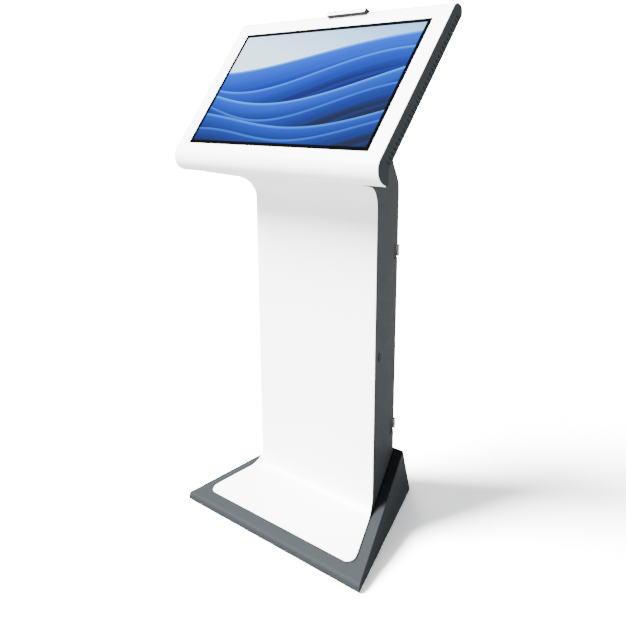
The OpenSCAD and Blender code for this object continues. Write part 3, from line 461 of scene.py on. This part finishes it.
def slab(lo, hi, origin=(0, 0, 0), x=(1, 0, 0), y=(0, 1, 0), z=(0, 0, 1)):
    """A box from its lowest to its highest corner along three directions from an origin."""
    lo, hi = np.array(lo, float), np.array(hi, float)
    c = np.array([[i, j, k] for k in (0, 1) for j in (0, 1) for i in (0, 1)], float)
    p = lo + c * (hi - lo)
    x, y, z = (np.array(k, float) for k in (x, y, z))
    verts = np.array(origin, float) + p[:, :1] * x + p[:, 1:2] * y + p[:, 2:] * z
    faces = [(0, 2, 3, 1), (4, 5, 7, 6), (0, 1, 5, 4), (2, 6, 7, 3), (0, 4, 6, 2), (1, 3, 7, 5)]
    return verts, faces


def joined(*shapes):
    """Several shapes as one set of vertices and faces."""
    verts, faces, at = [], [], 0
    for v, f in shapes:
        verts.append(np.asarray(v, float))
        faces += [[int(i) + at for i in g] for g in f]
        at += len(v)
    return np.concatenate(verts), faces


def ring_loop(c, r, n=32):
    """A closed circle of n points, the last one short of the first."""
    return arc(c, r, 0, 360 - 360 / n, n - 1)


def slot_loop(c, length, width, n=8):
    """A slot with round ends: two half circles, joined, lying along the loop's own x."""
    r = width / 2
    return np.concatenate([arc((c[0] + length / 2 - r, c[1]), r, -90, 90, n),
                           arc((c[0] - length / 2 + r, c[1]), r, 90, 270, n)])


# ---------------------------------------------------------------- base
def make_base():
    """Ramp, front lip and slanted back as one bent sheet, closed at the sides by walls that taper in plan."""
    up = np.array([-math.sin(BASE_LEAN), math.cos(BASE_LEAN)])
    ridge = np.array([RIDGE_Y, RIDGE_Z])
    hole = [ridge + up * k for k in (-INLET_DOWN + INLET_HALF, -INLET_DOWN - INLET_HALF)]
    roll_c = (BASE_FRONT + ROLL_R, BASE_LIP - ROLL_R * math.tan((math.pi / 2 - RAMP) / 2))
    roll = arc(roll_c, ROLL_R, 180, 90 + RAMP_DEG, 12)
    rows = np.array([[BASE_FRONT, BASE_LOW], *roll, ridge, *hole, [BASE_REAR, BASE_LOW]])
    half = [base_half(y) for y in rows[:, 0]]
    cols = (-42.4, 6.4, 16.6, 35.4)      # the sides of the inlet's and the switch's windows
    at = len(rows) - 3
    top = bent_sheet(rows, half, cols, [(at, at + 1, 1, 2), (at, at + 1, 3, 4)])
    n, m = len(rows), len(cols) + 2
    left, right = [i * m for i in range(n)], [i * m + m - 1 for i in range(n)]
    verts, faces = top[0], [*top[1].tolist(), left, right[::-1]]
    v, faces = tidy(verts, faces)
    # the open underside leaves the direction to chance, so it is set by the ramp's own normal
    f = next(f for f in faces if np.ptp(v[f, 2]) > 100 and v[f, 1].min() < BASE_FRONT + ROLL_R and len(f) == 4)
    if np.cross(v[f[1]] - v[f[0]], v[f[2]] - v[f[0]])[2] < 0:
        faces = [g[::-1] for g in faces]
    piece("base_shell_skin", v, faces, "kiosk", ["base_shell"], CHARCOAL, SHEET, 1.2, 3, 15)


# ---------------------------------------------------------------- column
def sheet_half(rows):
    """Half width of the white sheet: the taper's, less the round of the foot's corners at its front edge."""
    r = FOOT_CORNER
    cy = FOOT_FRONT + r
    cx = column_half(cy) - r / math.cos(WALL_ANGLE)
    y = rows[:, 0]
    side = column_half(y)
    bend = cx + np.sqrt(np.clip(r * r - (cy - y) ** 2, 0, None))
    return np.where(y < cy + r * math.sin(WALL_ANGLE), np.minimum(side, bend), side)


def make_front_sheet():
    """The white sheet: a foot on the ramp, a concave bend, the upright front, a second bend and the soffit."""
    tip = FOOT_C + BEND * np.array([math.sin(RAMP), -math.cos(RAMP)])
    y = FOOT_FRONT + FOOT_CORNER * (1 - np.cos(np.linspace(0, math.pi / 2, 14)))
    y = np.concatenate([y, np.linspace(y[-1], tip[0], 8)[1:-1]])
    foot = np.stack([y, tip[1] + (y - tip[0]) * math.tan(RAMP)], -1)
    rows = np.concatenate([foot, arc(FOOT_C, BEND, -90 + RAMP_DEG, 0, 24), arc(TOP_C, BEND, 0, SWEEP, 28),
                           SOFFIT_END[None]])
    half = sheet_half(rows)
    half[0] += 0.01
    verts, faces = bent_sheet(rows, half)
    piece("front_sheet_skin", verts, faces[:, ::-1], "kiosk", ["front_sheet"], WHITE, SHEET, 0.6, 2, 40)


def wall_loop():
    """Outline [y, z] of a side wall, from the foot round the back of the neck to the soffit."""
    lift = SEAT / math.cos(RAMP)
    foot = FOOT_C + (BEND + SKIN) * np.array([math.sin(RAMP), -math.cos(RAMP)]) + [0, lift]
    lip_in = head_yz(HEAD_T + SEAT, LIP_S + 6)
    bend_end = TOP_C + (BEND + SKIN) * np.array([math.cos(math.radians(SWEEP)), math.sin(math.radians(SWEEP))])
    soffit_z = bend_end[1] + (bend_end[0] - lip_in[0]) * math.tan(SOFFIT)
    return np.concatenate([
        [foot, [COLUMN_DEEP, ramp_z(COLUMN_DEEP) + lift]], arc(NECK_C, NECK_R, 0, NECK_DEG, 16),
        [head_yz(HEAD_T + SEAT, MEET_S), lip_in, [lip_in[0], soffit_z]],
        arc(TOP_C, BEND + SKIN, SWEEP, 0, 28), arc(FOOT_C, BEND + SKIN, 0, -90 + RAMP_DEG, 24)[:-1]])


def make_side_walls():
    """Two flat walls that stand on the taper: outline y becomes the distance along the wall."""
    loop = wall_loop()
    flat = np.stack([loop[:, 0] / math.cos(WALL_ANGLE), loop[:, 1]], -1)
    end_u = COLUMN_DEEP / math.cos(WALL_ANGLE)
    cut = HINGE_U - 44
    steps = [[u, z + k] for z in HINGE_Z for u, k in ((end_u, -NOTCH), (cut, -NOTCH), (cut, NOTCH), (end_u, NOTCH))]
    notched = np.concatenate([flat[:2], steps, flat[2:]])
    v, f = flat_sheet([notched, ring_loop((BUTTON_U, BUTTON_Z), 9.6)], (COLUMN_HALF, 0, 0),
                      ALONG_WALL, (0, 0, 1))
    piece("side_wall_right", v, f, "kiosk", ["side_panel_right"], CHARCOAL, SHEET, 0.5, 2)
    v, f = flat_sheet([flat * [-1, 1]], (-COLUMN_HALF, 0, 0), ALONG_WALL * [1, -1, 1], (0, 0, 1))
    piece("side_wall_left", v, f, "kiosk", ["side_panel_left"], CHARCOAL, SHEET, 0.5, 2)
    outer, inner = column_half(FLANGE_Y) - WALL_IN - 0.1, column_half(COLUMN_DEEP) - 16
    whole = ((DOOR_LOW + 2, DOOR_HIGH - 2),)
    broken = ((DOOR_LOW + 2, HINGE_Z[0] - NOTCH), (HINGE_Z[0] + NOTCH, HINGE_Z[1] - NOTCH),
              (HINGE_Z[1] + NOTCH, DOOR_HIGH - 2))
    for name, m, spans in (("door_flange_right", 1, broken), ("door_flange_left", -1, whole)):
        v, f = joined(*(slab([inner, FLANGE_Y, a], [outer, FLANGE_Y + SHEET, b]) for a, b in spans))
        v = v * [m, 1, 1]
        piece(name, v, f if m > 0 else [g[::-1] for g in f], "kiosk", [], CHARCOAL, 0, 0.3, 2)


def make_neck_cover():
    """Back of the neck: a short upright, a bend and a long slope with seven cooling slots in front of the fan."""
    slope_u = [0.42 * NECK_LEN + 10 * i + k for i in range(-3, 4) for k in (-2.5, 2.5)]
    slope = np.array([NECK_Q + NECK_V * u for u in [*slope_u, NECK_LEN - 3.2]])
    below = np.concatenate([[[COLUMN_DEEP, DOOR_HIGH + 4]], arc(NECK_C, NECK_R, 0, NECK_DEG, 18)])
    rows = np.concatenate([below, slope])
    half = np.array([column_half(y) - WALL_IN - SEAT for y in rows[:, 0]])
    first = len(below)
    gaps = [(first + 2 * i, first + 2 * i + 1, 1, 2) for i in range(7)]
    verts, faces = bent_sheet(rows, half, (-32, 32), gaps)
    piece("neck_cover_skin", verts, faces[:, ::-1], "kiosk", ["neck_cover"], CHARCOAL, SHEET, 0.4,
             2, 30)


def make_door():
    """Service door: a flat sheet with louvre slots, hinge notches and a lock hole, and a folded rim behind it."""
    x1 = HINGE_X - 15.2
    lo, hi = DOOR_LOW, DOOR_HIGH
    outline = [[-DOOR_HALF, lo], [DOOR_HALF, lo]]
    for z in HINGE_Z:
        outline += [[DOOR_HALF, z - NOTCH], [x1, z - NOTCH], [x1, z + NOTCH], [DOOR_HALF, z + NOTCH]]
    outline += [[DOOR_HALF, hi], [-DOOR_HALF, hi]]
    loops = [np.array(outline), ring_loop((LOCK_X, LOCK_Z), 9.1)]
    loops += [slot_loop((0, z + 9 * i + 2), 120, 4) for z in (lo + 60, hi - 150) for i in range(10)]
    loops = [np.asarray(k, float) * [-1, 1] for k in loops]
    v, f = flat_sheet(loops, (0, DOOR_Y, 0), (-1, 0, 0), (0, 0, 1))
    piece("door_skin", v, f, "door", [], CHARCOAL, SHEET, 0.5, 2)
    a, b = DOOR_HALF - 2, DOOR_HALF - 3.5
    y0, y1 = FLANGE_Y + 5, DOOR_Y - SHEET
    rim = [slab([-a, y0, lo + 3], [a, y1, lo + 4.5]), slab([-a, y0, hi - 4.5], [a, y1, hi - 3]),
           slab([-a, y0, lo + 4.5], [-b, y1, hi - 4.5])]
    stops = [lo + 4.5, *(z + k for z in HINGE_Z for k in (-NOTCH, NOTCH)), hi - 4.5]
    rim += [slab([b, y0, stops[i]], [a, y1, stops[i + 1]]) for i in (0, 2, 4)]
    v, f = joined(*rim)
    piece("door_rim", v, f, "door", ["rear_door"], CHARCOAL, 0, 0.25, 2)


# ---------------------------------------------------------------- fittings
def make_hinges():
    """Each hinge: two barrels one above the other on a pin with domed caps, and a leaf from each barrel. Matt black
    slabs behind each notch in the wall give the notch painted shade.
    """
    h, r, bore = 13.0, 4.4, 2.05
    barrel = [(bore, 0), (r - 0.5, 0), (r - 0.15, 0.15), (r, 0.5), (r, h - 0.5), (r - 0.15, h - 0.15), (r - 0.5, h),
              (bore, h), (bore, 0)]
    cap = [(0, 0), (r - 0.2, 0), (r, 0.3), (r, 1.3), (r - 0.5, 2.0), (r - 1.6, 2.5), (0, 2.6)]
    fixed, moving, pins, notch_shade_slabs = [], [], [], []
    for z in HINGE_Z:
        c = np.array([HINGE_X, HINGE_Y, z])
        on_wall = ((COLUMN_HALF, 0, z), ALONG_WALL, INTO_WALL)
        fixed += [turned(barrel, c + [0, 0, 0.2], (0, 0, 1)),
                  slab([HINGE_U - 9, SKIN, 0.2], [HINGE_U - 1, SKIN + 2, h + 0.2], *on_wall)]
        # matt black slabs behind the notch: painted shade where the notch lies in shadow
        notch_shade_slabs += [slab([HINGE_U - 64, SKIN, 0.2 - NOTCH], [HINGE_U - 9, SKIN + 2, NOTCH - 0.2], *on_wall),
                   slab([HINGE_U - 9, SKIN, 0.2 - NOTCH], [HINGE_U - 4.8, SKIN + 2, -0.4], *on_wall)]
        moving += [turned(barrel, c - [0, 0, 0.2], (0, 0, -1)),
                   slab([HINGE_X - 14.7, DOOR_Y - 2.1, z - h - 0.2], [HINGE_X, HINGE_Y - 2.2, z - 0.2]),
                   slab([HINGE_X - 40, DOOR_Y - 4, z - h - 0.2], [HINGE_X - 13, DOOR_Y - 2, z - 0.2])]
        pins += [turned(cap, c + [0, 0, 13.4], (0, 0, 1)), turned(cap, c - [0, 0, 13.4], (0, 0, -1)),
                 turned([(0, -13.5), (2, -13.5), (2, 13.5), (0, 13.5)], c, (0, 0, 1))]
    for name, parts, body, node, slot, finish in (
            ("hinge_leaves_fixed", fixed, "kiosk", "hinge_fixed_leaves", "chrome", CHROME),
            ("hinge_leaves_door", moving, "door", "hinge_door_leaves", "chrome", CHROME),
            ("hinge_notch_shade_slabs", notch_shade_slabs, "kiosk", None, "charcoal_coat", MATT),
            ("hinge_pin_caps", pins, "kiosk", "hinge_pins", "steel", MATT)):
        v, f = joined(*parts)
        piece(name, v, f, body, [node] if node else [], finish, 0, 0.2, 2, 45)


def make_button_and_lock():
    """Turned parts about the button's axis in the right wall, and about the lock's axis in the door."""
    c = np.array([COLUMN_HALF - BUTTON_U * math.sin(WALL_ANGLE), BUTTON_U * math.cos(WALL_ANGLE), BUTTON_Z])
    bezel = [(7.05, 11), (7.05, -1.3), (7.4, -1.8), (8.2, -2.0), (9.8, -1.9), (11.1, -1.2), (11.5, -0.3), (11.5, 0),
             (9.5, 0), (9.5, 22), (7.05, 22), (0, 22), (0, 11), (7.05, 11)]
    v, f = turned(bezel, c, INTO_WALL, 64)
    piece("button_bezel", v, f, "kiosk", ["button_housing"], MATT, 0, 0)
    dish = [(0, -0.9), (3, -1.0), (5, -1.25), (6.2, -1.6), (6.75, -1.5), (7.0, -1.1), (7.0, 7.7), (0, 7.7)]
    v, f = turned(dish, c, INTO_WALL, 64)
    piece("button_top", v, f, "power_button", ["button_cap"], MATT, 0, 0)
    c = np.array([LOCK_X, 0, LOCK_Z])
    barrel = [(6.05, FLANGE_Y), (9, FLANGE_Y), (9, DOOR_Y), (11.5, DOOR_Y), (11.5, DOOR_Y + 1.4),
              (10.9, DOOR_Y + 2.2), (10, DOOR_Y + 2.5), (6.6, DOOR_Y + 2.5), (6.05, DOOR_Y + 2.1), (6.05, FLANGE_Y)]
    v, f = turned(barrel, c, (0, 1, 0), 64)
    piece("lock_barrel_housing", v, f, "door", ["lock_housing"], CHROME, 0, 0)


# ---------------------------------------------------------------- head
def make_bezel():
    """White front of the head: rounded top edge, flat frame with the glass opening, and the rolled lip."""
    top = arc((TOP_R, TOP_S), TOP_R, 90, 180, 20)
    flat = np.array([[0, GLASS_H / 2 + 0.6], [0, -GLASS_H / 2 - 0.6]])
    roll = arc((HEAD_T, LIP_S), HEAD_T, 180, LIP_END, LIP_STEPS)
    ds = np.concatenate([top, flat, roll])
    rows = head_yz(ds[:, 0], ds[:, 1])
    g = GLASS_W / 2 + 0.6
    half = np.full(len(rows), HEAD_HALF)
    # round the lip's lower corners: the way left to the roll's end sets how far each row draws in
    to_end = math.radians(LIP_END) * HEAD_T - np.radians(np.linspace(180, LIP_END, len(roll))) * HEAD_T
    share = np.clip(1 - to_end / LIP_CORNER, 0, 1)
    half[-len(roll):] -= LIP_CORNER * (1 - np.sqrt(1 - share ** 2))
    verts, faces = bent_sheet(rows, half, (-g, g), [(len(top), len(top) + 1, 1, 2)])
    piece("head_front_skin", verts, faces[:, ::-1], "kiosk", ["bezel_panel"], WHITE, SHEET, 0.6, 3, 40)
    spot = np.array([-PICTURE_W / 3, *head_yz(0, TOP_S - 7)])
    rim = [(0, -1), (1.5, -1), (1.5, 0.12), (1.2, 0.3), (0.7, 0.3), (0.6, -0.4), (0, -0.4)]
    v, f = turned(rim, spot, -HEAD_DEPTH, 24)
    piece("microphone_rim", v, f, "kiosk", [], BLACK, 0, 0)


def make_head_cover():
    """Charcoal back of the head, and its two end walls with a row of vent slots each. Behind each row a dark sheet
    gives the slots painted shade of the head's inside.
    """
    c_top, c_lip, lip_r = (TOP_R, TOP_S), (HEAD_T, LIP_S), HEAD_T - SKIN
    ds = np.concatenate([arc(c_top, TOP_R, 89, 0, 20), [c_lip], arc(c_lip, lip_r, LIP_END, LIP_END, 0)])
    rows = head_yz(ds[:, 0], ds[:, 1])
    verts, faces = bent_sheet(rows, np.full(len(rows), HEAD_HALF - SHEET - 0.05))
    piece("head_back_skin", verts, faces, "kiosk", [], CHARCOAL, SHEET, 0.5, 2, 35)
    loop = np.concatenate([[[SKIN, LIP_S]], arc(c_top, TOP_R - SKIN, 180, 91, 16), arc(c_top, TOP_R, 89, 0, 18),
                           [c_lip], arc(c_lip, lip_r, LIP_END, 181, 32)])
    pitch = (TOP_S - LIP_S - 2 * VENT_MARGIN) / (VENTS - 1)
    slots = [slot_loop((HEAD_T - 11, LIP_S + VENT_MARGIN + pitch * i), 10, 3.4) for i in range(VENTS)]
    v, f = flat_sheet([loop, *slots], HEAD_MIDDLE + [HEAD_HALF, 0, 0], HEAD_DEPTH, HEAD_UP)
    piece("head_end_right", v, f, "kiosk", ["head_cover"], CHARCOAL, SHEET, 0.35, 2)
    piece("head_end_left", v * [-1, 1, 1], [g[::-1] for g in f], "kiosk", [], CHARCOAL, SHEET,
          0.35, 2)
    # a dark sheet behind each row of slots: painted shade of the head's inside
    for name, m in (("vent_shade_right", 1), ("vent_shade_left", -1)):
        v, f = slab([HEAD_HALF - 4, HEAD_T - 18, LIP_S + 2], [HEAD_HALF - 3, HEAD_T - 4, TOP_S + 2],
                    HEAD_MIDDLE, (1, 0, 0), HEAD_DEPTH, HEAD_UP)
        v = v * [m, 1, 1]
        piece(name, v, f if m < 0 else [g[::-1] for g in f], "kiosk", [], MESH, 0, 0)


def make_display():
    """The touch glass: a thin pane with softly rounded rim, its u and v running over the whole face."""
    w, h, r = GLASS_W / 2, GLASS_H / 2, 2.0
    loop = np.concatenate([arc((sx * (w - r), sy * (h - r)), r, a, a + 90, 6)
                           for sx, sy, a in ((1, 1, 0), (-1, 1, 90), (-1, -1, 180), (1, -1, 270))])
    v, f = flat_sheet([loop], HEAD_MIDDLE + HEAD_DEPTH * SEAT, (1, 0, 0), HEAD_UP)
    o = piece("touch_glass_pane", v, f, "kiosk", ["touch_glass"], PICTURE, 3.0, 0.4, 2, 40)
    co = np.array([p.co[:] for p in o.data.vertices]) * 1000
    x = co[:, 0]
    s = (co[:, 1] + MIDDLE_Y - HEAD_MIDDLE[1]) * HEAD_UP[1] + (co[:, 2] - HEAD_MIDDLE[2]) * HEAD_UP[2]
    index = np.array([k.vertex_index for k in o.data.loops])
    uv = o.data.uv_layers.new(name="glass")
    uv.data.foreach_set("uv", np.stack([x[index] / GLASS_W + 0.5, s[index] / GLASS_H + 0.5], -1).ravel())


def make_camera_bar():
    """Camera bar on the rounded top edge: a moulded body hollowed to fit the round, a white face and the lens."""
    depth, up, c = HEAD_DEPTH, HEAD_UP, HEAD_MIDDLE
    x0, x1, s0, s1, d0, d1 = -23.0, 101.0, TOP_S, TOP_S + 13, -11.0, 10.0
    r = TOP_R + SEAT
    a = math.degrees(math.acos((d1 - TOP_R) / r))
    touch = arc((TOP_R, TOP_S), r, a, 180, 14)
    loop = np.concatenate([[[d0 + 1.2, s1], [d1, s1]], touch, [[d0 + 1.2, s0]]])
    v, f = flat_sheet([loop], c + [x0, 0, 0], depth, up)
    n = np.cross(depth, up)
    v = v + (np.array([x1 - x0, 0, 0]) if n[0] > 0 else 0)
    piece("camera_bar_body", v, f, "kiosk", ["camera_body"], MATT, x1 - x0, 0.5, 3)
    rim = 2.0
    corners = [arc((cx, cy), rim, k, k + 90, 5) for cx, cy, k in (
        (x1 - rim, s1 - rim, 0), (x0 + rim, s1 - rim, 90), (x0 + rim, s0 + rim, 180), (x1 - rim, s0 + rim, 270))]
    lens = (3.0, TOP_S + 8)
    v, f = flat_sheet([np.concatenate(corners), ring_loop(lens, 2.6)], c + depth * d0, (1, 0, 0), up)
    piece("camera_face", v, f, "kiosk", ["camera_fascia"], WHITE, 1.2, 0.25, 2)
    at = c + np.array([lens[0], 0, 0]) + up * lens[1] + depth * d0
    glass = [(0, -3.6), (2.5, -3.6), (2.5, -0.1), (2.2, 0.05), (1.9, -0.1), (1.8, -0.7), (1.4, -0.35), (0.8, -0.12),
             (0, -0.05)]
    v, f = turned(glass, at, -depth, 32)
    piece("camera_glass", v, f, "kiosk", ["camera_lens"], MATT, 0, 0)


make_base()
make_front_sheet()
make_side_walls()
make_neck_cover()
make_door()
make_hinges()
make_button_and_lock()
make_bezel()
make_head_cover()
make_display()
make_camera_bar()


# ---------------------------------------------------------------- room, light and camera
def seen_or_felt(nt, seen, felt):
    """A shader for what is looked at directly, and another for the light that comes back from it."""
    path = nt.nodes.new("ShaderNodeLightPath")
    mix = nt.nodes.new("ShaderNodeMixShader")
    nt.links.new(path.outputs["Is Camera Ray"], mix.inputs[0])
    nt.links.new(felt.outputs[0], mix.inputs[1])
    nt.links.new(seen.outputs[0], mix.inputs[2])
    return mix.outputs[0]


# how bright the floor and the sky look, and how much light they give back
FLOOR_SEEN, FLOOR_FELT, SKY_SEEN, SKY_FELT = 2.2, 0.26, 20, 0.30


def make_room():
    """A pale floor that reaches far behind the kiosk, under an even white sky."""
    floor = bpy.data.meshes.new("floor")
    floor.from_pydata([(-40, -40, 0), (40, -40, 0), (40, 60, 0), (-40, 60, 0)], [], [(0, 1, 2, 3)])
    m, nt, surf, _ = tree("floor_paint")
    surf.inputs["Base Color"].default_value = (FLOOR_SEEN, FLOOR_SEEN, FLOOR_SEEN, 1)
    surf.inputs["Roughness"].default_value = 1.0
    surf.inputs["Specular IOR Level"].default_value = 0.0
    grey = nt.nodes.new("ShaderNodeBsdfDiffuse")
    grey.inputs[0].default_value = (FLOOR_FELT, FLOOR_FELT, FLOOR_FELT, 1)
    nt.links.new(seen_or_felt(nt, surf, grey), nt.nodes["Material Output"].inputs[0])
    floor.materials.append(m)
    o = bpy.data.objects.new("floor", floor)
    bpy.context.scene.collection.objects.link(o)
    world = bpy.data.worlds.new("sky")
    world.use_nodes = True
    nt = world.node_tree
    felt = nt.nodes["Background"]
    felt.inputs[1].default_value = SKY_FELT
    felt.inputs[0].default_value = (0.93, 0.96, 1, 1)
    seen = nt.nodes.new("ShaderNodeBackground")
    seen.inputs[0].default_value = (1, 1, 1, 1)
    seen.inputs[1].default_value = SKY_SEEN
    nt.links.new(seen_or_felt(nt, seen, felt), nt.nodes["World Output"].inputs[0])
    bpy.context.scene.world = world


def make_light(name, towards, strength, spread):
    """A far light that shines along a direction, soft by its spread in degrees."""
    lamp = bpy.data.lights.new(name, "SUN")
    lamp.energy, lamp.angle = strength, math.radians(spread)
    o = bpy.data.objects.new(name, lamp)
    look = np.array(towards, float) / np.linalg.norm(towards)
    o.rotation_euler = (math.acos(-look[2]), 0, math.atan2(look[1], look[0]) - math.pi / 2)
    bpy.context.scene.collection.objects.link(o)


def make_camera():
    """Camera off the kiosk's front right corner: turned 44 degrees, looking down 15 degrees, all but level."""
    heading, down, roll = 43.96, 15.42, -0.34
    cam = bpy.data.cameras.new("camera")
    cam.lens, cam.sensor_width, cam.clip_end = 43.83, 36, 200
    o = bpy.data.objects.new("camera", cam)
    turn = (Matrix.Rotation(math.radians(heading), 4, "Z") @ Matrix.Rotation(math.radians(90 - down), 4, "X")
            @ Matrix.Rotation(math.radians(roll), 4, "Z"))
    o.matrix_world = Matrix.Translation((1.3687, -1.4758, 1.1494)) @ turn
    bpy.context.scene.collection.objects.link(o)
    bpy.context.scene.camera = o


make_room()
make_light("key", (0.40, 0.57, -0.72), 35, 30)
make_light("front_fill", (-0.35, 0.93, -0.06), 3.2, 24)
make_light("side_fill", (-0.94, -0.33, -0.03), 7.5, 24)
make_light("back_fill", (0.80, -0.60, -0.03), 9, 24)
make_camera()
